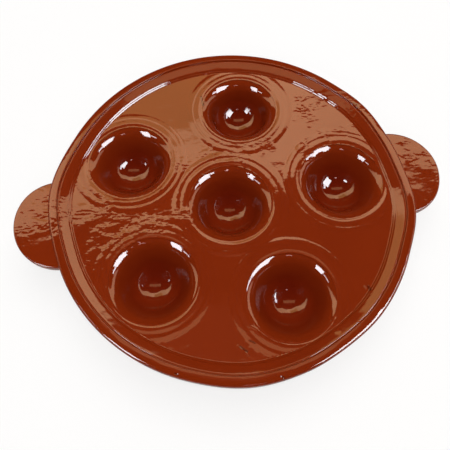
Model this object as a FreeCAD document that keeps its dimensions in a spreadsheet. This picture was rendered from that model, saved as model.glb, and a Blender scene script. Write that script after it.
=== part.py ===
"""Glazed terracotta egg plate: a round plate with six egg wells and two ears.

The plate is pressed and thrown from one body of clay, so it is one solid. It
stands on the flattened bottoms of its wells, in the plane z = 0. The Z axis
runs through the centre well, and +X points to the first outer well and to
the first ear.
"""
import FreeCAD, Part
import math
import os

import Sketcher

NODE = "egg_plate"

SIZES = {
    # round plate
    "plate_radius": 110.0,
    "slab_wall": 6.5,
    "rim_rise": 4.5,
    "edge_round": 3.0,
    "edge_bevel_run": 8.0,
    "edge_bevel_rise": 1.6,
    # inner side of the rim, from its outer edge inwards
    "groove_inset": 5.0,
    "groove_depth": 1.3,
    "groove_half_width": 1.1,
    "bead_width": 1.7,
    "bead_drop": 0.4,
    "slope_run": 3.6,
    # wells
    "pitch_radius": 70.0,
    "outer_wells": 5,
    "well_depth": 21.5,
    "bowl_radius": 17.5,
    "lip_radius": 28.5,
    "lip_round": 5.0,
    "lip_rise": 0.8,
    "lip_skirt": 3.6,
    # outside of the wells, under the plate
    "well_wall": 6.5,
    "foot_wall": 7.0,
    # ears
    "ear_radius": 28.3,
    "ear_reach": 22.0,
    "ear_drop": 2.6,
    "ear_thickness": 6.2,
    "ear_round": 2.2,
    "ear_bevel": 2.0,
    "ear_blend": 2.6,
    "ear_spread": 177.2,
}

START, END, CENTRE = range(1, 4)
H_AXIS, V_AXIS = -1, -2

# Heights above the plane that the wells stand on
FLOOR = "sizes.foot_wall + sizes.well_depth"
TOP = f"{FLOOR} + sizes.rim_rise"
UNDER = f"{FLOOR} - sizes.slab_wall"
EAR_TOP = f"{TOP} - sizes.ear_drop"
EAR_UNDER = f"{EAR_TOP} - sizes.ear_thickness"

doc = FreeCAD.newDocument("EggPlate")
sheet = doc.addObject("Spreadsheet::Sheet", "sizes")
for row, (alias, value) in enumerate(SIZES.items(), start=1):
    sheet.set(f"A{row}", alias)
    sheet.set(f"B{row}", str(value))
    sheet.setAlias(f"B{row}", alias)
doc.recompute()

body = doc.addObject("PartDesign::Body", "egg_plate_body")
body.Label = NODE


def size(alias):
    """Value of one cell of the sheet."""
    return float(getattr(sheet, alias))


def sheet_value(expression):
    """What an expression on the sheet's cells comes to, for the first place of an edge."""
    return float(sheet.evalExpression(expression))


floor = sheet_value(FLOOR)
top = sheet_value(TOP)


def origin_feature(role):
    """One of the body's own origin planes or axes."""
    return next(item for item in body.Origin.OriginFeatures if item.Role == role)


class Profile:
    """A closed outline in the XZ plane, with its own vertical axis at a given X."""

    def __init__(self, name, axis_at=None):
        self.sketch = body.newObject("Sketcher::SketchObject", name)
        self.sketch.AttachmentSupport = (origin_feature("XZ_Plane"), [""])
        self.sketch.MapMode = "FlatFace"
        if axis_at:
            self.sketch.setExpression("AttachmentOffset.Base.x", axis_at)

    def line(self, start, end):
        return self.sketch.addGeometry(Part.LineSegment(FreeCAD.Vector(*start, 0), FreeCAD.Vector(*end, 0)))

    def arc(self, centre, radius, first, last, construction=False):
        """An arc drawn anticlockwise between two angles in degrees."""
        circle = Part.Circle(FreeCAD.Vector(*centre, 0), FreeCAD.Vector(0, 0, 1), radius)
        edge = Part.ArcOfCircle(circle, math.radians(first), math.radians(last))
        return self.sketch.addGeometry(edge, construction)

    def rule(self, kind, *places):
        return self.sketch.addConstraint(Sketcher.Constraint(kind, *places))

    def join(self, *pairs):
        """Put the ends of neighbouring edges together."""
        for one, other in pairs:
            self.rule("Coincident", *one, *other)

    def blend(self, *pairs):
        """Put the ends of neighbouring edges together, with one tangent."""
        for one, other in pairs:
            self.rule("Tangent", *one, *other)

    def radius(self, edge, expression):
        value = self.sketch.Geometry[edge].Radius
        self.sketch.setExpression(f"Constraints[{self.rule('Radius', edge, value)}]", expression)

    def across(self, edge, point, expression):
        """Distance of a point from the profile's axis."""
        value = self.sketch.getPoint(edge, point).x
        number = self.rule("DistanceX", H_AXIS, START, edge, point, value)
        self.sketch.setExpression(f"Constraints[{number}]", expression)

    def height(self, edge, point, expression):
        """Height of a point above the plane that the wells stand on."""
        value = self.sketch.getPoint(edge, point).y
        number = self.rule("DistanceY", H_AXIS, START, edge, point, value)
        self.sketch.setExpression(f"Constraints[{number}]", expression)

    def on_axis(self, edge, point):
        self.rule("PointOnObject", edge, point, V_AXIS)

    def turned(self, kind, name):
        """A full turn of the outline about its own axis, added to the body or cut from it."""
        doc.recompute()
        feature = body.newObject(f"PartDesign::{kind}", name)
        feature.Profile = self.sketch
        feature.ReferenceAxis = (self.sketch, ["V_Axis"])
        feature.Angle = 360.0
        doc.recompute()
        return feature


def rounded_disc(name, axis_at, radius, upper, lower, rounding, bevel_run, bevel_rise):
    """A turned disc with a rolled upper edge and a bevelled lower one; each size is a sheet expression."""
    reach, high = sheet_value(radius), sheet_value(upper)
    low, roll = sheet_value(lower), sheet_value(rounding)
    run, rise = sheet_value(bevel_run), sheet_value(bevel_rise)
    outline = Profile(f"{name}_outline", axis_at)
    axis = outline.line((0, high), (0, low))
    bottom = outline.line((0, low), (reach - run, low))
    bevel = outline.line((reach - run, low), (reach, low + rise))
    side = outline.line((reach, low + rise), (reach, high - roll))
    crown = outline.arc((reach - roll, high - roll), roll, 0, 90)
    cover = outline.line((reach - roll, high), (0, high))
    outline.join(((axis, END), (bottom, START)), ((bottom, END), (bevel, START)),
                 ((bevel, END), (side, START)), ((cover, END), (axis, START)))
    outline.blend(((side, END), (crown, START)), ((crown, END), (cover, START)))
    outline.on_axis(axis, START)
    outline.on_axis(axis, END)
    outline.rule("Horizontal", bottom)
    outline.rule("Vertical", side)
    outline.rule("Horizontal", cover)
    outline.radius(crown, rounding)
    outline.across(bottom, END, f"{radius} - {bevel_run}")
    outline.across(side, START, radius)
    outline.height(side, START, f"{lower} + {bevel_rise}")
    outline.height(axis, START, upper)
    outline.height(axis, END, lower)
    return outline.turned("Revolution", name)


def blank():
    """The whole round of clay, filled to the top of its rim."""
    return rounded_disc("blank", None, "sizes.plate_radius", TOP, UNDER, "sizes.edge_round",
                        "sizes.edge_bevel_run", "sizes.edge_bevel_rise")


def ear():
    """A flat round lug that stands half in the rim, with its edge rolled over."""
    centre = "sizes.plate_radius + sizes.ear_reach - sizes.ear_radius"
    return rounded_disc("ear", centre, "sizes.ear_radius", EAR_TOP, EAR_UNDER, "sizes.ear_round",
                        "sizes.ear_bevel", "sizes.ear_bevel")


def around(name, originals, copies, angle):
    """Copies of features about the plate's axis."""
    pattern = body.newObject("PartDesign::PolarPattern", name)
    pattern.Originals = originals
    pattern.Axis = (origin_feature("Z_Axis"), [""])
    pattern.setExpression("Occurrences", copies)
    pattern.setExpression("Angle", angle)
    body.Tip = pattern
    doc.recompute()
    return pattern


def own_axis_distance(face):
    """Distance from the plate's axis to the axis that a face was turned about."""
    surface = face.Surface
    centre = face.CenterOfMass if surface.TypeId == "Part::GeomPlane" else surface.Center
    return math.hypot(centre.x, centre.y)


def ear_blends(base):
    """The smoothed joint on the upper side, where each ear was luted to the rim."""
    ear_side = size("plate_radius") / 2
    bevel_top = sheet_value("sizes.ear_bevel") + sheet_value(EAR_UNDER)
    joint = []
    for number, edge in enumerate(base.Shape.Edges, start=1):
        reach = [own_axis_distance(face) for face in base.Shape.ancestorsOfType(edge, Part.Face)]
        if min(reach) < ear_side < max(reach) and edge.CenterOfMass.z > bevel_top:
            joint.append(f"Edge{number}")
    blend = body.newObject("PartDesign::Fillet", "ear_blends")
    blend.Base = (base, joint)
    blend.setExpression("Radius", "sizes.ear_blend")
    body.Tip = blend
    doc.recompute()
    return blend


def basin():
    """The floor, and the slope, bead and groove on the inner side of the rim."""
    groove = "sizes.plate_radius - sizes.groove_inset"
    bead_outer = f"({groove} - sizes.groove_half_width)"
    bead_inner = f"({bead_outer} - sizes.bead_width)"
    stations = [
        ("0", FLOOR),
        (f"{bead_inner} - sizes.slope_run", FLOOR),
        (bead_inner, f"{TOP} - sizes.bead_drop"),
        (bead_outer, f"{TOP} - sizes.bead_drop"),
        (groove, f"{TOP} - sizes.groove_depth"),
        (f"{groove} + sizes.groove_half_width", TOP),
        (f"{groove} + sizes.groove_half_width", f"{TOP} + sizes.rim_rise"),
        ("0", f"{TOP} + sizes.rim_rise"),
    ]
    outline = Profile("basin_outline")
    points = [(sheet_value(across), sheet_value(up)) for across, up in stations]
    edges = [outline.line(one, other) for one, other in zip(points, points[1:] + points[:1])]
    for edge, after in zip(edges, edges[1:] + edges[:1]):
        outline.join(((edge, END), (after, START)))
    for edge, (across, up) in zip(edges, stations):
        if across == "0":
            outline.on_axis(edge, START)
        else:
            outline.across(edge, START, across)
        outline.height(edge, START, up)
    return outline.turned("Groove", "basin")


LIP_HEIGHT = f"{FLOOR} + sizes.lip_rise - sizes.lip_round"


def lip():
    """The raised ring of clay round the mouth of a well, which fades out on the floor."""
    middle, skirt, mouth = size("lip_radius"), size("lip_skirt"), size("lip_radius") - size("lip_round")
    crest = floor + size("lip_rise")
    root = floor - size("slab_wall") / 2
    outline = Profile("lip_outline", "sizes.pitch_radius")
    inner = outline.line((mouth, crest), (mouth, root))
    bottom = outline.line((mouth, root), (middle + skirt, root))
    outer = outline.line((middle + skirt, root), (middle + skirt, floor))
    fade = outline.line((middle + skirt, floor), (middle, crest))
    top_ring = outline.line((middle, crest), (mouth, crest))
    outline.join(((inner, END), (bottom, START)), ((bottom, END), (outer, START)), ((outer, END), (fade, START)),
                 ((fade, END), (top_ring, START)), ((top_ring, END), (inner, START)))
    outline.rule("Vertical", inner)
    outline.rule("Horizontal", bottom)
    outline.rule("Vertical", outer)
    outline.rule("Horizontal", top_ring)
    outline.across(inner, START, "sizes.lip_radius - sizes.lip_round")
    outline.across(fade, END, "sizes.lip_radius")
    outline.across(outer, END, "sizes.lip_radius + sizes.lip_skirt")
    outline.height(inner, START, f"{FLOOR} + sizes.lip_rise")
    outline.height(bottom, START, f"{FLOOR} - sizes.slab_wall / 2")
    outline.height(outer, END, FLOOR)
    return outline.turned("Revolution", "lip")


def bump():
    """The outside of a well under the plate: a blunt cone that keeps the wall even, with a flat foot."""
    bowl = size("bowl_radius") + size("well_wall")
    bowl_height = size("foot_wall") + size("bowl_radius")
    lip_height = floor + size("lip_rise") - size("lip_round")
    root = floor - size("slab_wall") / 2
    foot, shoulder = bowl / 2, size("lip_radius") + size("lip_round") / 2
    outline = Profile("bump_outline", "sizes.pitch_radius")
    axis = outline.line((0, root), (0, 0))
    flat = outline.line((0, 0), (foot, 0))
    wall = outline.line((foot, 0), (shoulder, root))
    cover = outline.line((shoulder, root), (0, root))
    bowl_guide = outline.arc((0, bowl_height), bowl, 270, 360, construction=True)
    lip_guide = outline.arc((size("lip_radius"), lip_height), size("well_wall") - size("lip_round"),
                            270, 360, construction=True)
    outline.join(((axis, END), (flat, START)), ((flat, END), (wall, START)),
                 ((wall, END), (cover, START)), ((cover, END), (axis, START)))
    outline.rule("Tangent", wall, bowl_guide)
    outline.rule("Tangent", wall, lip_guide)
    outline.rule("Horizontal", cover)
    outline.rule("Horizontal", flat)
    outline.on_axis(axis, START)
    outline.on_axis(axis, END)
    outline.on_axis(bowl_guide, CENTRE)
    outline.rule("PointOnObject", axis, END, H_AXIS)
    outline.radius(bowl_guide, "sizes.bowl_radius + sizes.well_wall")
    outline.radius(lip_guide, "sizes.well_wall - sizes.lip_round")
    outline.height(bowl_guide, CENTRE, "sizes.foot_wall + sizes.bowl_radius")
    outline.height(cover, START, f"{FLOOR} - sizes.slab_wall / 2")
    outline.across(lip_guide, CENTRE, "sizes.lip_radius")
    outline.height(lip_guide, CENTRE, LIP_HEIGHT)
    return outline.turned("Revolution", "bump")


def well():
    """The hollow that holds one egg: a round bottom, a straight flare and a shoulder up to the lip."""
    bowl, crest = size("bowl_radius"), size("lip_round")
    middle = size("lip_radius")
    bowl_height = size("foot_wall") + bowl
    lip_height = floor + size("lip_rise") - crest
    clear = top + size("rim_rise")
    outline = Profile("well_outline", "sizes.pitch_radius")
    axis = outline.line((0, clear), (0, size("foot_wall")))
    bowl_arc = outline.arc((0, bowl_height), bowl, 270, 322)
    wall = outline.line((0.8 * bowl, bowl_height - 0.6 * bowl), (middle - crest, lip_height))
    crest_guide = outline.arc((middle, lip_height), crest, 90, 142, construction=True)
    shoulder = outline.line((middle - crest, lip_height), (middle, lip_height + crest))
    side = outline.line((middle, lip_height + crest), (middle, clear))
    cover = outline.line((middle, clear), (0, clear))
    outline.join(((axis, END), (bowl_arc, START)), ((wall, END), (shoulder, START)),
                 ((shoulder, END), (side, START)), ((side, END), (cover, START)),
                 ((cover, END), (axis, START)), ((shoulder, END), (crest_guide, START)))
    outline.blend(((bowl_arc, END), (wall, START)), ((wall, END), (crest_guide, END)))
    outline.on_axis(axis, START)
    outline.on_axis(axis, END)
    outline.on_axis(bowl_arc, CENTRE)
    outline.rule("Vertical", side)
    outline.rule("Horizontal", cover)
    outline.radius(bowl_arc, "sizes.bowl_radius")
    outline.radius(crest_guide, "sizes.lip_round")
    outline.height(axis, END, "sizes.foot_wall")
    outline.height(axis, START, f"{TOP} + sizes.rim_rise")
    outline.across(crest_guide, CENTRE, "sizes.lip_radius")
    outline.height(crest_guide, CENTRE, LIP_HEIGHT)
    outline.across(side, START, "sizes.lip_radius")
    return outline.turned("Groove", "well")


def centre_copy(name, originals):
    """The same features once more, on the plate's own axis."""
    copy = body.newObject("PartDesign::LinearPattern", name)
    copy.Originals = originals
    copy.Direction = (origin_feature("X_Axis"), [""])
    copy.Reversed = True
    copy.Occurrences = 2
    copy.setExpression("Length", "sizes.pitch_radius")
    body.Tip = copy
    doc.recompute()
    return copy


def check(shape, what):
    """Stop where the solid is missing, broken or in pieces."""
    if shape.isNull() or not shape.isValid() or len(shape.Solids) != 1:
        raise RuntimeError(f"{what} is not one sound solid")


def worked(feature, before):
    """A feature that left a sound solid and did change it."""
    check(feature.Shape, feature.Name)
    if abs(feature.Shape.Volume - before.Shape.Volume) < 1:
        raise RuntimeError(f"{feature.Name} changed nothing")
    return feature


clay = blank()
first_ear = worked(ear(), clay)
ears = worked(around("ears", [first_ear], "2", "sizes.ear_spread"), first_ear)
joined_ears = worked(ear_blends(ears), ears)
hollowed = worked(basin(), joined_ears)
first_lip = worked(lip(), hollowed)
first_bump = worked(bump(), first_lip)
first_well = worked(well(), first_bump)
well_features = [first_lip, first_bump, first_well]
centre_well = worked(centre_copy("centre_well", well_features), first_well)
all_wells = worked(around("outer_wells", well_features, "sizes.outer_wells", "360"), centre_well)

for item in doc.Objects:
    if {"Invalid", "Error"} & set(item.State):
        raise RuntimeError(f"{item.Name} failed: {item.State}")
check(body.Shape, NODE)

os.makedirs("parts", exist_ok=True)
body.Shape.exportStep(f"parts/{NODE}.step")
box = body.Shape.BoundBox
print(NODE, "volume", round(body.Shape.Volume), "box", [round(value, 2) for value in
      (box.XMin, box.XMax, box.YMin, box.YMax, box.ZMin, box.ZMax)])
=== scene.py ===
import math

import bpy
from mathutils import Matrix, Vector


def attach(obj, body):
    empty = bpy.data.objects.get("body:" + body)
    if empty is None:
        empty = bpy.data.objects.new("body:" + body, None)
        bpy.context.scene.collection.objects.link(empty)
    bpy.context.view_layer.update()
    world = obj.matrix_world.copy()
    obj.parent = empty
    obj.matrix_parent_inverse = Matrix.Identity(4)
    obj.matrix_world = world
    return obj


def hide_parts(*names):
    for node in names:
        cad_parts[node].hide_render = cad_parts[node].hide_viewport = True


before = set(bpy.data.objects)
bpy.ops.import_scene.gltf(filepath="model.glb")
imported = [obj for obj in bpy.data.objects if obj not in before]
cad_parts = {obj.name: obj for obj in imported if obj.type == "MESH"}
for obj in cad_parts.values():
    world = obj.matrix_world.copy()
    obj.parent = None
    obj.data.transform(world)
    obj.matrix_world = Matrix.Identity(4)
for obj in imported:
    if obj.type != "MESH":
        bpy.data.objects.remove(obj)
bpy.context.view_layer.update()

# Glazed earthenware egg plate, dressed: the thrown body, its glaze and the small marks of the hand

MM = 0.001
FULL_TURN = math.tau

# The body, in millimetres above the table or out from an axis
FLOOR = 28.5
RIM_TOP = 33.0
UNDERSIDE = 22.0
PLATE_RADIUS = 110.5
PITCH_RADIUS = 70.0

# The rim's section, from the floor outwards: the last two rings of the flat floor, the rounded crease and its
# slope in degrees, a small ledge, a bead, a groove, the gently rounded band with its first and last slope, and
# the edge
FLAT_RADII = (95.6, 96.6)
CREASE_RADIUS = 96.9
CREASE_ROUND = 1.0
CREASE_SLOPE = 42
LEDGE = ((97.83, 28.99), (98.09, 29.22), (98.2, 29.28), (98.35, 29.32), (98.45, 29.38), (98.71, 29.61),
         (98.97, 29.85), (99.2, 29.99), (99.45, 30.11))
BEAD_CENTRE = (103.7, RIM_TOP - 2.2)
BEAD_ROUND = 1.0
GROOVE = ((104.05, 31.68), (104.25, 31.62), (104.45, 31.75), (104.6, 32.1), (104.7, 32.5), (104.85, 32.72))
BAND_TOP = RIM_TOP - 0.2
BAND_FALL = 0.5
BAND_ROUND = 21.0
BAND_SLOPES = (2, 13)
EDGE_ROUND = 2.0
SIDE_FOOT = 25.5
BELLY_ROUND = 2.0
UNDER_RADIUS = 102.0

# The wells: bowl, wall and lip
WELL_BOTTOM = 6.8
BOWL_RADIUS = 18.8
WALL_LEAN = math.radians(59)
WELL_WALL = 6.5
WELL_FOOT_ROUND = 3.0
WELL_FOOT_HEIGHT = 2.2
WELL_FLAT = 4.0
ROOT_HEIGHT = 25.0
LIP_RADIUS = 29.2
LIP_RISE = 0.3
LIP_REACH = 36.7
LIP_SINK = 0.06
# The lip's roll into the well, from its crest: radius of each part of the roll, and the slope that it ends at
LIP_ROLL = ((8.0, 24), (12.0, 59))
# The lip's outer side, past its crest: a tool's ring and the fall to the floor
LIP_OUTSIDE = ((0.6, 0.29), (1.2, 0.26), (1.8, 0.215), (2.3, 0.18), (2.7, 0.17), (3.1, 0.185), (3.5, 0.215),
               (3.9, 0.24), (4.4, 0.245), (5.0, 0.22), (5.8, 0.16), (6.6, 0.08), (7.2, 0.0))
# The plug that opens the floor for each well: radius, height and middle
PLUG_RADIUS, PLUG_HEIGHT, PLUG_MIDDLE = 26, 14, 26

# The flat round lugs, cut off at a radius inside the rim
EAR_RADIUS = 28.3
EAR_TOP = 30.4
EAR_THICKNESS = 6.2
EAR_TOP_ROUND = 1.1
EAR_LOW_ROUND = 2.0
EAR_ROOT = 104
# Angle of each ear, and how far it stands out of the rim
EARS = ((-1.6, 22.2), (177.0, 22.5))

# Each well as the hand set it: angle on its circle, shift across and up the plate, change of its mouth's radius
WELLS = (
    (None, -0.9, -1.35, -0.5),
    (0, 0.7, -0.65, 0.0),
    (72, -2.1, -2.2, -1.4),
    (144, -0.65, -1.2, -0.2),
    (216, 1.35, 0.65, 0.0),
    (288, -0.65, -0.1, 0.0),
)
# The rim was turned a little off the middle of the wells
RIM_CENTRE = (0.5, -0.2)
# Where the rim was pushed out or in: angle, distance, reach of the push; and how wide the pushing thumb is
RIM_PUSHES = ((263, 0.9, 34), (293, -0.7, 26), (166, 2.6, 42), (-15, 2.0, 30), (26, 1.0, 26))
THUMB = 2.5

# Where the photograph was taken from, in millimetres and degrees
VIEW_TURN = math.radians(-12)
CAMERA_PLACE = (-3.83, -130.2, FLOOR + 277.7)
CAMERA_TILT = math.radians(90 - 67.8)
LENS = 39.5


def well_places():
    """Centres of the wells in millimetres, each with the change of its mouth's radius."""
    places = []
    for angle, across, up, widened in WELLS:
        reach = 0.0 if angle is None else PITCH_RADIUS
        turn = math.radians(angle or 0)
        places.append(((reach * math.cos(turn) + across, reach * math.sin(turn) + up), widened))
    return places


def arc(centre, radius, first, last, count):
    """Points of an arc between two angles in degrees."""
    angles = [math.radians(first + (last - first) * step / count) for step in range(count + 1)]
    return [(centre[0] + radius * math.cos(angle), centre[1] + radius * math.sin(angle)) for angle in angles]


def run(start, end, pace):
    """Points on a straight line about a pace apart, both ends included."""
    count = max(1, round(math.dist(start, end) / pace))
    return [tuple(a + (b - a) * step / count for a, b in zip(start, end)) for step in range(count + 1)]


def deselect():
    bpy.ops.object.select_all(action="DESELECT")


def take(piece):
    """Make one object the selected and active one."""
    deselect()
    piece.select_set(True)
    bpy.context.view_layer.objects.active = piece


def turned(name, outline, centre, steps):
    """A closed solid turned about an upright axis, from an outline of radii and heights."""
    deselect()
    bpy.ops.mesh.primitive_plane_add(size=MM, location=(0, 0, 0))
    piece = bpy.context.object
    piece.name = name
    bpy.ops.object.mode_set(mode="EDIT")
    bpy.ops.mesh.select_all(action="SELECT")
    bpy.ops.mesh.merge(type="CENTER")
    first = outline[0]
    bpy.ops.transform.translate(value=((centre[0] + first[0]) * MM, centre[1] * MM, first[1] * MM))
    for here, there in zip(outline, outline[1:]):
        step = ((there[0] - here[0]) * MM, 0, (there[1] - here[1]) * MM)
        bpy.ops.mesh.extrude_region_move(TRANSFORM_OT_translate={"value": step, "orient_type": "GLOBAL"})
    bpy.ops.mesh.select_all(action="SELECT")
    bpy.ops.mesh.spin(steps=steps, angle=FULL_TURN, center=(centre[0] * MM, centre[1] * MM, 0), axis=(0, 0, 1))
    bpy.ops.mesh.select_all(action="SELECT")
    bpy.ops.mesh.remove_doubles(threshold=0.005 * MM)
    bpy.ops.mesh.normals_make_consistent(inside=False)
    bpy.ops.object.mode_set(mode="OBJECT")
    return piece


def joined(pieces):
    """Several objects as one mesh."""
    deselect()
    for piece in pieces:
        piece.select_set(True)
    bpy.context.view_layer.objects.active = pieces[0]
    bpy.ops.object.join()
    return bpy.context.object


def combine(piece, other, operation):
    """Cut another solid from a piece, or add it."""
    modifier = piece.modifiers.new(operation.lower(), "BOOLEAN")
    modifier.operation = operation
    modifier.solver = "EXACT"
    modifier.object = other
    take(piece)
    bpy.ops.object.modifier_apply(modifier=modifier.name)
    bpy.data.objects.remove(other, do_unlink=True)


def plate_outline():
    """Section of the round plate: floor, ledge, slope, bead, groove, band, side and underside."""
    floor = run((0, FLOOR), (FLAT_RADII[0], FLOOR), pace=2.4) + [(FLAT_RADII[1], FLOOR), (CREASE_RADIUS, FLOOR)]
    hollow = arc((CREASE_RADIUS, FLOOR + CREASE_ROUND), CREASE_ROUND, -90, CREASE_SLOPE - 90, count=6)[1:]
    bead = arc(BEAD_CENTRE, BEAD_ROUND, 114, 80, count=5)
    slope = run(LEDGE[-1], bead[0], pace=0.9)[1:-1]
    first_slope, last_slope = BAND_SLOPES
    lean = math.radians(last_slope)
    edge_centre = (PLATE_RADIUS - EDGE_ROUND, BAND_TOP - BAND_FALL - EDGE_ROUND * math.cos(lean))
    inset = BAND_ROUND - EDGE_ROUND
    band_centre = (edge_centre[0] - inset * math.sin(lean), edge_centre[1] - inset * math.cos(lean))
    band = arc(band_centre, BAND_ROUND, 90 - first_slope, 90 - last_slope, count=9)
    edge = arc(edge_centre, EDGE_ROUND, 90 - last_slope, 0, count=8)[1:]
    side = run(edge[-1], (PLATE_RADIUS, SIDE_FOOT), pace=1.5)[1:]
    belly = arc((PLATE_RADIUS - BELLY_ROUND, SIDE_FOOT), BELLY_ROUND, -10, -75, count=5)
    under = run((UNDER_RADIUS, UNDERSIDE), (0, UNDERSIDE), pace=3.0)
    return floor + hollow + [*LEDGE] + slope + bead + [*GROOVE] + band + edge + side + belly + under


def lip_inside(crest):
    """The lip's rolled inner side, from the well's wall up to its crest."""
    points = [crest]
    slope = 0.0
    for radius, last in LIP_ROLL:
        x, z = points[-1]
        lean = math.radians(slope)
        centre = (x + radius * math.sin(lean), z - radius * math.cos(lean))
        points += arc(centre, radius, 90 + slope, 90 + last, count=7)[1:]
        slope = last
    return points[::-1]


def cup_outline(widened):
    """Section of one well's wall: bowl, flare and lip inside, root in the slab, flare and foot outside."""
    bowl_height = WELL_BOTTOM + BOWL_RADIUS
    crest_radius = LIP_RADIUS + widened
    lip_end = LIP_REACH + widened
    bowl = arc((0, bowl_height), BOWL_RADIUS, -90, math.degrees(WALL_LEAN) - 90, count=18)
    crest = lip_inside((crest_radius, FLOOR + LIP_RISE))
    wall = run(bowl[-1], crest[0], pace=1.5)[1:-1]
    fade = [(crest_radius + across, FLOOR + up) for across, up in LIP_OUTSIDE]
    fade.append((lip_end, FLOOR - LIP_SINK))
    outer_bowl = BOWL_RADIUS + WELL_WALL
    slope = (math.sin(WALL_LEAN), -math.cos(WALL_LEAN))
    wall_foot = outer_bowl / slope[0] + bowl_height * slope[1] / slope[0]
    shoulder = wall_foot + ROOT_HEIGHT * -slope[1] / slope[0]
    root = [(lip_end, ROOT_HEIGHT), (shoulder, ROOT_HEIGHT)]
    foot_top = (wall_foot + WELL_FOOT_HEIGHT * -slope[1] / slope[0], WELL_FOOT_HEIGHT)
    outside = run(root[-1], foot_top, pace=2.2)[1:]
    foot = arc((wall_foot - 0.9, WELL_FOOT_ROUND), WELL_FOOT_ROUND, -35, -90, count=5)[1:]
    return bowl + wall + crest + fade + root + outside + foot + [(WELL_FLAT, 0), (0, 0)]


def ear_outline():
    """Section of the flat round lug."""
    under = EAR_TOP - EAR_THICKNESS
    top_end, low_end = EAR_RADIUS - EAR_TOP_ROUND, EAR_RADIUS - EAR_LOW_ROUND
    top = run((0, EAR_TOP), (top_end, EAR_TOP), pace=2.4)
    edge = arc((top_end, EAR_TOP - EAR_TOP_ROUND), EAR_TOP_ROUND, 90, 0, count=7)[1:]
    low = arc((low_end, under + EAR_LOW_ROUND), EAR_LOW_ROUND, 0, -90, count=5)
    bottom = run((low_end, under), (0, under), pace=3.0)[1:]
    return top + edge + low + bottom


def ear(number, angle, reach):
    """One lug, cut off inside the rim and turned to its place."""
    centre = PLATE_RADIUS + reach - EAR_RADIUS
    lug = turned(f"ear_{number}", ear_outline(), (centre, 0), steps=112)
    bpy.ops.object.mode_set(mode="EDIT")
    bpy.ops.mesh.select_all(action="SELECT")
    bpy.ops.mesh.bisect(plane_co=(EAR_ROOT * MM, 0, 0), plane_no=(1, 0, 0), use_fill=True, clear_inner=True)
    bpy.ops.mesh.select_all(action="SELECT")
    bpy.ops.transform.rotate(value=-math.radians(angle), orient_axis="Z", center_override=(0, 0, 0))
    bpy.ops.transform.translate(value=(RIM_CENTRE[0] * MM, RIM_CENTRE[1] * MM, 0))
    bpy.ops.object.mode_set(mode="OBJECT")
    return lug


def push_rim(piece, angle, distance, reach):
    """Push the rim out or in at one place, fading over its reach."""
    turn = math.radians(angle)
    outwards = Vector((math.cos(turn), math.sin(turn), 0))
    mark = Vector((*RIM_CENTRE, 0)) * MM + outwards * PLATE_RADIUS * MM
    chosen = [math.dist(vertex.co.xy, mark.xy) < THUMB * MM for vertex in piece.data.vertices]
    take(piece)
    bpy.ops.object.mode_set(mode="EDIT")
    bpy.ops.mesh.select_all(action="DESELECT")
    bpy.ops.object.mode_set(mode="OBJECT")
    piece.data.vertices.foreach_set("select", chosen)
    bpy.ops.object.mode_set(mode="EDIT")
    bpy.ops.transform.translate(value=outwards * distance * MM, use_proportional_edit=True,
                                proportional_edit_falloff="SMOOTH", proportional_size=reach * MM)
    bpy.ops.object.mode_set(mode="OBJECT")


def plug(place, widened):
    """The solid that opens the floor for one well."""
    deselect()
    bpy.ops.mesh.primitive_cylinder_add(vertices=64, radius=(PLUG_RADIUS + widened) * MM, depth=PLUG_HEIGHT * MM,
                                        location=(place[0] * MM, place[1] * MM, PLUG_MIDDLE * MM))
    return bpy.context.object


def body():
    """The whole plate: the slab, its wells set in, and the two lugs luted on."""
    slab = turned("egg_plate_body", plate_outline(), RIM_CENTRE, steps=256)
    combine(slab, joined([plug(*well) for well in well_places()]), "DIFFERENCE")
    cups = [turned(f"cup_{number}", cup_outline(widened), place, steps=96)
            for number, (place, widened) in enumerate(well_places())]
    # The middle cup's lip overlaps the others', so it is added alone
    combine(slab, cups[0], "UNION")
    combine(slab, joined(cups[1:]), "UNION")
    lugs = [ear(number, *shape) for number, shape in enumerate(EARS)]
    combine(slab, joined(lugs), "UNION")
    for push in RIM_PUSHES:
        push_rim(slab, *push)
    take(slab)
    bpy.ops.object.shade_smooth_by_angle(angle=math.radians(50))
    return slab


class Wire:
    """An output of a shader node, with sums and products written as in Python."""

    def __init__(self, tree, socket):
        self.tree, self.socket = tree, socket

    def math(self, operation, *others):
        return self.tree.node("ShaderNodeMath", {"operation": operation}, [self, *others])

    def __add__(self, other):
        return self.math("ADD", other)

    __radd__ = __add__

    def __sub__(self, other):
        return self.math("SUBTRACT", other)

    def __rsub__(self, other):
        return self.tree.node("ShaderNodeMath", {"operation": "SUBTRACT"}, [other, self])

    def __mul__(self, other):
        return self.math("MULTIPLY", other)

    __rmul__ = __mul__

    def __truediv__(self, other):
        return self.math("DIVIDE", other)

    def least(self, other):
        return self.math("MINIMUM", other)

    def most(self, other):
        return self.math("MAXIMUM", other)


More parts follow.
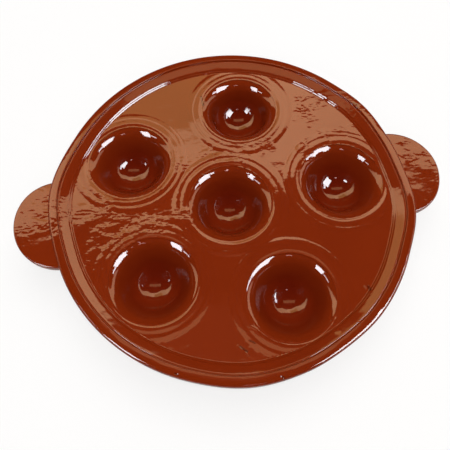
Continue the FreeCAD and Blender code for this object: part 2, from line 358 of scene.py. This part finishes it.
class Shader:
    """The node tree of one material, or of the world."""

    def __init__(self, owner):
        self.owner = owner
        owner.use_nodes = True
        self.nodes = owner.node_tree.nodes
        self.links = owner.node_tree.links
        self.nodes.clear()

    def node(self, kind, settings=None, inputs=None, output=0):
        """A node with its settings made first, and its sockets set or linked by number or name."""
        made = self.nodes.new(kind)
        for name, value in (settings or {}).items():
            setattr(made, name, value)
        pairs = inputs.items() if isinstance(inputs, dict) else enumerate(inputs or [])
        for key, value in pairs:
            if isinstance(value, Wire):
                self.links.new(value.socket, made.inputs[key])
            else:
                made.inputs[key].default_value = value
        return Wire(self, made.outputs[output]) if made.outputs else made

    def object_place(self):
        return self.node("ShaderNodeTexCoord", {}, {}, "Object")

    def from_side(self, place):
        """A place turned so that across and away are as the camera sees them."""
        return self.node("ShaderNodeMapping", {}, {"Vector": place, "Rotation": (0, 0, -VIEW_TURN)})

    def mixed(self, factor, one, other):
        """A colour between two others."""
        return self.node("ShaderNodeMix", {"data_type": "RGBA"}, {0: factor, 6: one, 7: other}, 2)

    def smooth(self, value, low, high):
        """0 below one value, 1 above another, and soft between."""
        settings = {"interpolation_type": "SMOOTHSTEP"}
        return self.node("ShaderNodeMapRange", settings, {0: value, 1: low, 2: high, 3: 0.0, 4: 1.0})

    def steps(self, value, stops):
        """A colour that follows a value from 0 to 1 through several stops."""
        ramp = self.node("ShaderNodeValToRGB", {}, [value])
        elements = ramp.socket.node.color_ramp.elements
        while len(elements) < len(stops):
            elements.new(0.5)
        for element, (position, colour) in zip(elements, stops):
            element.position = position
            element.color = (*colour, 1)
        return ramp

    def noise(self, place, scale, detail=2.0):
        return self.node("ShaderNodeTexNoise", {}, {"Vector": place, "Scale": scale, "Detail": detail})

    def parts(self, vector):
        """The three parts of a vector."""
        return [self.node("ShaderNodeSeparateXYZ", {}, [vector], number) for number in range(3)]

    def stroke(self, vector, start, end, width):
        """1 on a short line given in millimetres, and 0 past its width."""
        length = math.dist(start, end)
        along_line = ((end[0] - start[0]) / length, (end[1] - start[1]) / length, 0)
        off_line = (-along_line[1], along_line[0], 0)
        distances = []
        for direction in (along_line, off_line):
            first = (start[0] * direction[0] + start[1] * direction[1]) * MM
            dot = self.node("ShaderNodeVectorMath", {"operation": "DOT_PRODUCT"}, [vector, direction], 1)
            distances.append(dot - first)
        along, off = distances
        past = along - along.least(length * MM).most(0.0)
        distance = (past * past + off * off).math("SQRT")
        return 1 - self.smooth(distance, 0.2 * width * MM, width * MM)

    def finished(self, surface, output="ShaderNodeOutputMaterial"):
        self.node(output, {}, [surface])
        return self.owner


def material(name):
    return Shader(bpy.data.materials.new(name))


# Small marks of the making, seen from the camera's side, in millimetres: ridge or dip, start, end, width
MARKS = (
    (-1, (4.5, -89.3), (8.3, -92.0), 0.9), (1, (3.1, -88.8), (5.5, -90.9), 0.6),
    (1, (7.4, -92.4), (9.3, -94.7), 0.6), (-1, (9.8, -86.0), (12.8, -87.4), 0.7),
    (-1, (79.1, -55.3), (79.8, -57.3), 1.3), (1, (80.7, -56.2), (79.1, -59.8), 0.9),
    (1, (76.8, -55.4), (77.6, -56.4), 0.7), (-1, (81.6, 69.4), (82.9, 68.0), 1.2),
    (-1, (84.0, 68.4), (84.3, 65.3), 0.9), (1, (80.1, 66.2), (80.7, 65.4), 0.8),
    (-1, (-20.1, 76.7), (-18.6, 70.6), 1.1), (1, (10.7, -78.3), (13.8, -79.7), 1.0),
    (-1, (26.5, -105.6), (27.5, -106.1), 0.7), (-1, (-30.5, -104.0), (-29.4, -104.5), 0.7),
    (1, (-72.4, -56.5), (-70.2, -62.6), 1.8), (1, (57.5, -74.6), (58.4, -80.9), 2.4),
    (1, (-90.1, 19.9), (-88.4, 14.9), 1.2),
)

# Painted shade in each well, darkest at one point: its shift across and away from the well's middle, height, and
# how far it reaches
SHADE_SHIFT = (0.0, 7.0)
SHADE_HEIGHT = 12.0
SHADE_REACH = (3, 16)

# The fired clay under thin glaze; down in the wells, deeper glaze darkened further with painted shade; the painted
# shade in each well's far side; and the glaze caught in a nick
CLAYS = ((0.205, 0.0215, 0.0028, 1), (0.165, 0.0165, 0.0024, 1))
DEEP_GLAZE_AND_SHADE_RED = (0.10, 0.004, 0.001, 1)
SHADE_RED = (0.065, 0.0012, 0.0004, 1)
NICK_RED = (0.05, 0.004, 0.001, 1)

# The relief is this many millimetres high for each 1 of its sum
RELIEF_HEIGHT = 0.13


def brushed_zone(shader, sideways, away):
    """Where the brush left ripples: a slanting belt over the plate, wider at the right, and both ears."""
    middle = sideways * 0.4 + sideways.most(0.0) * 0.4 + 14 * MM
    zone = 1 - shader.smooth((away - middle).math("ABSOLUTE"), 12 * MM, 36 * MM)
    zone = zone * (1 + shader.smooth(sideways, 15 * MM, 45 * MM) * 1.2)
    return zone.most(shader.smooth(sideways.math("ABSOLUTE"), 103 * MM, 112 * MM))


def small_marks(shader, across):
    """All ridges and dips as one height, and the dips alone."""
    marks, dips = 0.0, 0.0
    for way, start, end, width in MARKS:
        mark = shader.stroke(across, start, end, width)
        marks = mark * way + marks
        if way < 0:
            dips = mark.most(dips)
    return marks, dips


def painted_shade_in_wells(shader, place):
    """Painted shade: 1 at a point low in each well's far side, and less further from it."""
    nearest = 1.0
    shift = from_camera_side(*SHADE_SHIFT, SHADE_HEIGHT)
    for (x, y), _ in well_places():
        shade_centre = (x * MM + shift.x * MM, y * MM + shift.y * MM, SHADE_HEIGHT * MM)
        distance = shader.node("ShaderNodeVectorMath", {"operation": "DISTANCE"}, [place, shade_centre], 1)
        nearest = distance.least(nearest)
    near, far = SHADE_REACH
    return 1 - shader.smooth(nearest, near * MM, far * MM)


def glaze():
    """Clear honey glaze over red clay, thin on the edges; darker down in the wells for deeper glaze and painted
    shade, and with painted shade in each well's far side.
    """
    shader = material("honey_glaze")
    place = shader.object_place()
    height = shader.parts(place)[2]
    across = shader.from_side(place)
    sideways, away, _ = shader.parts(across)
    marks, dips = small_marks(shader, across)

    # Darker down in the wells: partly the deeper glaze, partly painted shade
    deep_glaze_and_shade = 1 - shader.smooth(height, 12 * MM, 27 * MM)
    colour = shader.mixed(shader.noise(place, 28.0, 3.0), *CLAYS)
    colour = shader.mixed(deep_glaze_and_shade * 0.4, colour, DEEP_GLAZE_AND_SHADE_RED)
    # Painted shade in each well's far side
    colour = shader.mixed(painted_shade_in_wells(shader, place) * 0.5, colour, SHADE_RED)
    colour = shader.mixed(dips * 0.7, colour, NICK_RED)

    stretched = shader.node("ShaderNodeMapping", {}, {"Vector": across, "Scale": (0.6, 1.0, 1.0)})
    brushed = shader.noise(stretched, 175.0)
    blotches = shader.smooth(brushed, 0.36, 0.64)
    patchy = shader.smooth(shader.noise(place, 34.0), 0.40, 0.60)
    fine = shader.noise(place, 520.0, 3.0)
    soft = shader.noise(place, 45.0, 1.0)
    relief = blotches * (patchy * brushed_zone(shader, sideways, away) * 1.2 + 0.06)
    relief = relief + brushed * 0.4 + fine * 0.06 + soft * 3.5 + marks * 0.7
    bump = shader.node("ShaderNodeBump", {}, {"Strength": 1.0, "Distance": RELIEF_HEIGHT * MM, "Height": relief})

    clear, deep = [
        shader.node("ShaderNodeBsdfPrincipled", {},
                    {"Base Color": colour, "Roughness": roughness, "IOR": bending, "Normal": bump})
        for roughness, bending in ((0.05, 1.5), (0.14, 1.14))]
    walls = shader.smooth(height, 10.5 * MM, 14 * MM) * (1 - shader.smooth(height, 23.5 * MM, 26 * MM))
    return shader.finished(shader.node("ShaderNodeMixShader", {}, [walls, clear, deep]))


def from_camera_side(x, y, z):
    """A place given across, away and up from the camera's side, turned to the plate's frame."""
    return Matrix.Rotation(VIEW_TURN, 4, "Z") @ Vector((x, y, z))


def camera():
    place = from_camera_side(*(value * MM for value in CAMERA_PLACE))
    bpy.ops.object.camera_add(location=place, rotation=(CAMERA_TILT, 0, VIEW_TURN))
    eye = bpy.context.object
    eye.data.lens = LENS
    bpy.context.scene.camera = eye


def towards(azimuth, elevation, distance):
    """A place around the plate; azimuth 0 is straight away from the camera and grows to the right."""
    across, up = math.radians(azimuth), math.radians(elevation)
    flat = distance * math.cos(up)
    return from_camera_side(flat * math.sin(across), flat * math.cos(across), distance * math.sin(up))


def only_in_gloss(sheet, shader, colour, strength):
    """Let only the gloss of the glaze show a shining surface."""
    emission = shader.node("ShaderNodeEmission", {}, {"Color": colour, "Strength": strength})
    sheet.data.materials.append(shader.finished(emission))
    sheet.visible_camera = False
    sheet.visible_diffuse = False
    sheet.visible_shadow = False
    sheet.visible_transmission = False


# Shining cards: name, azimuth, elevation, distance, width, height, colour, strength
CARDS = (
    ("window_right", 117, 43.5, 1.5, 0.72, 0.62, (0.90, 0.95, 1.0), 23),
    ("glow_above", 180, 89.95, 5.2, 3.8, 0.94, (1.0, 0.56, 0.26), 1.9),
    ("window_left", -129.6, 39.5, 1.5, 0.42, 0.62, (0.90, 0.95, 1.0), 23),
    ("window_right_end", 92, 40, 1.5, 0.36, 0.2, (0.90, 0.92, 1.0), 18),
    ("window_left_end", -110, 37, 1.5, 0.28, 0.13, (0.95, 0.90, 0.95), 14),
    ("small_lamp", 168, 47, 1.5, 0.20, 0.07, (1.0, 0.66, 0.66), 12),
)


def card(name, azimuth, elevation, distance, width, height, colour, strength):
    """A shining card that only the gloss of the glaze shows."""
    deselect()
    place = towards(azimuth, elevation, distance)
    facing = (-place).to_track_quat("Z", "Y").to_euler()
    bpy.ops.mesh.primitive_plane_add(size=1, location=place, rotation=facing)
    sheet = bpy.context.object
    sheet.name = name
    sheet.scale = (width, height, 1)
    only_in_gloss(sheet, material(name), (*colour, 1), strength)


# Soft lamps that the gloss doesn't show: name, azimuth, elevation, distance, size, watts, colour
LAMPS = (
    ("overhead", 10, 80, 1.6, (1.6, 1.6), 20, (1.0, 0.98, 0.95)),
    ("far_light", 10, 48, 1.6, (1.8, 0.8), 7, (1.0, 0.97, 0.93)),
    ("near_light", 180, 50, 1.6, (1.8, 0.8), 10, (1.0, 0.97, 0.93)),
)


def lamp(name, azimuth, elevation, distance, size, watts, colour):
    place = towards(azimuth, elevation, distance)
    bpy.ops.object.light_add(type="AREA", location=place)
    light = bpy.context.object
    light.name = name
    light.rotation_euler = place.to_track_quat("Z", "Y").to_euler()
    light.data.shape = "RECTANGLE"
    light.data.size, light.data.size_y = size
    light.data.energy = watts
    light.data.color = colour
    light.visible_glossy = False


# Small dark flags in the wells' mouths, that keep a window out of a well's bottom: number of the well,
# place across and away from its middle, size across and along, turn in degrees
FLAG_HEIGHT = 23.0
FLAGS = (
    (0, 6.2, -2.7, 13, 13, 27), (0, -6.1, -4.9, 13, 13, -40),
    (4, 6.2, -2.7, 11, 11, 27), (4, -6.1, -4.9, 13, 13, -40),
    (5, 7.4, -3.6, 8, 11, 27), (5, -6.1, -4.9, 13, 13, -40),
    (3, 7.4, -3.6, 8, 11, 27), (3, -6.1, -4.9, 13, 13, -40),
    (1, -6.1, -4.9, 13, 13, -40),
)


def flag_in_well(number, across, away, width, length, turn):
    """A small dark card in a well's mouth, that only the gloss meets."""
    (x, y), _ = well_places()[number]
    shift = from_camera_side(across, away, 0)
    deselect()
    bpy.ops.mesh.primitive_plane_add(size=1, location=((x + shift.x) * MM, (y + shift.y) * MM, FLAG_HEIGHT * MM),
                                     rotation=(0, 0, VIEW_TURN + math.radians(turn)))
    sheet = bpy.context.object
    sheet.name = f"flag_{number}_{'right' if across > 0 else 'left'}"
    sheet.scale = (width * MM, length * MM, 1)
    only_in_gloss(sheet, material(sheet.name), (0, 0, 0, 1), 0.0)


# The pale wall by azimuth from -180 to 180: heights in degrees of its foot and its top, and its colour
WALL_HEIGHTS = ((-180, 20, 20), (-100, 20, 20), (-92, 20, 28), (-80, 22, 37), (-72, 26, 44), (-58, 28, 55),
                (-48, 35, 60.5), (-31, 44, 63), (0, 45, 62.5), (16, 44.5, 60.5), (27, 42, 57), (40, 33, 55.5),
                (50, 23, 51), (58, 20, 38), (66, 19, 33), (85, 18, 31), (95, 18, 26), (100, 20, 20), (180, 20, 20))
WALL_COLOURS = ((-180, (0.05, 0.03, 0.01)), (-84, (2.2, 1.5, 0.9)), (-68, (3.0, 2.0, 1.1)), (-56, (3.0, 2.0, 1.1)),
                (-50, (2.6, 1.75, 0.95)), (-30, (3.0, 2.0, 1.0)), (10, (3.3, 2.2, 1.2)), (40, (2.6, 1.7, 0.9)),
                (95, (2.3, 1.5, 1.1)), (180, (0.05, 0.03, 0.01)))
# A colour on a ramp stays under 1, so the wall's colours are divided by one number and shine by another
WALL_COLOUR_SCALE = 4
WALL_STRENGTH = 6.0
WALL_DISTANCE = 2.0
WALL_DEPTH = 9
WALL_MIDDLE = 4.6
# The browner part of the wall
WALL_BROWN = (0.38, 0.24, 0.075, 1)


def wall_of_room():
    """The pale wall round the far side of the plate, as the glaze shows it."""
    deselect()
    bpy.ops.mesh.primitive_cylinder_add(vertices=128, radius=WALL_DISTANCE, depth=WALL_DEPTH,
                                        location=(0, 0, WALL_MIDDLE), end_fill_type="NOTHING")
    wall = bpy.context.object
    wall.name = "wall_of_room"
    shader = material("wall_of_room")
    across, away, up = shader.parts(shader.from_side(shader.object_place()))
    azimuth = across.math("ARCTAN2", away) / math.pi * 0.5 + 0.5
    elevation = (up + WALL_MIDDLE).math("ARCTAN2", WALL_DISTANCE) / math.radians(90)
    heights = [((angle + 180) / 360, (foot / 90, top / 90, 0)) for angle, foot, top in WALL_HEIGHTS]
    colours = [((angle + 180) / 360, tuple(part / WALL_COLOUR_SCALE for part in colour))
               for angle, colour in WALL_COLOURS]
    foot, top, _ = shader.parts(shader.steps(azimuth, heights))
    lit = (1 - shader.smooth(elevation - top, -0.006, 0.006)) * shader.smooth(elevation - foot, -0.01, 0.01)
    brown = (1 - shader.smooth(azimuth, 0.490, 0.505)) * shader.smooth(azimuth, 0.38, 0.40)
    brown = brown * (1 - shader.smooth(elevation, 0.615, 0.64)) * shader.smooth(elevation, 0.42, 0.46)
    colour = shader.mixed(brown * 0.9, shader.steps(azimuth, colours), WALL_BROWN)
    only_in_gloss(wall, shader, shader.mixed(lit, (0, 0, 0, 1), colour), WALL_STRENGTH)


WHITE = (1, 1, 1, 1)
GROUND_GREY = (0.9, 0.9, 0.9, 1)
# How much of the ground's white the camera sees over its shadow
GROUND_WHITE = 0.78
# The room as the soft light and as the gloss meet it
ROOM_DULL = (0.12, 0.10, 0.09, 1)
ROOM_IN_GLOSS = (0.30, 0.09, 0.045, 1)


def ground():
    deselect()
    bpy.ops.mesh.primitive_plane_add(size=6, location=(0, 0, 0))
    sheet = bpy.context.object
    sheet.name = "ground"
    shader = material("pale_ground")
    matt = shader.node("ShaderNodeBsdfDiffuse", {}, {"Color": GROUND_GREY})
    white = shader.node("ShaderNodeEmission", {}, {"Color": WHITE, "Strength": 1.0})
    seen = shader.node("ShaderNodeLightPath", {}, {}, "Is Camera Ray")
    mix = shader.node("ShaderNodeMixShader", {}, [seen * GROUND_WHITE, matt, white])
    sheet.data.materials.append(shader.finished(mix))


def room():
    """The world: white to the camera, and the dim room to the rest."""
    shader = Shader(bpy.data.worlds.new("studio"))
    colour = ROOM_DULL
    for ray, seen in (("Is Glossy Ray", ROOM_IN_GLOSS), ("Is Camera Ray", WHITE)):
        colour = shader.mixed(shader.node("ShaderNodeLightPath", {}, {}, ray), colour, seen)
    background = shader.node("ShaderNodeBackground", {}, {"Color": colour, "Strength": 1.0})
    bpy.context.scene.world = shader.finished(background, "ShaderNodeOutputWorld")


def studio():
    ground()
    room()
    for values in LAMPS:
        lamp(*values)
    for values in CARDS:
        card(*values)
    wall_of_room()
    for values in FLAGS:
        flag_in_well(*values)
    bpy.context.scene.view_settings.view_transform = "Standard"


def dress():
    plate = body()
    plate.data.materials.clear()
    plate.data.materials.append(glaze())
    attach(plate, "root")
    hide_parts("egg_plate")


dress()
camera()
studio()
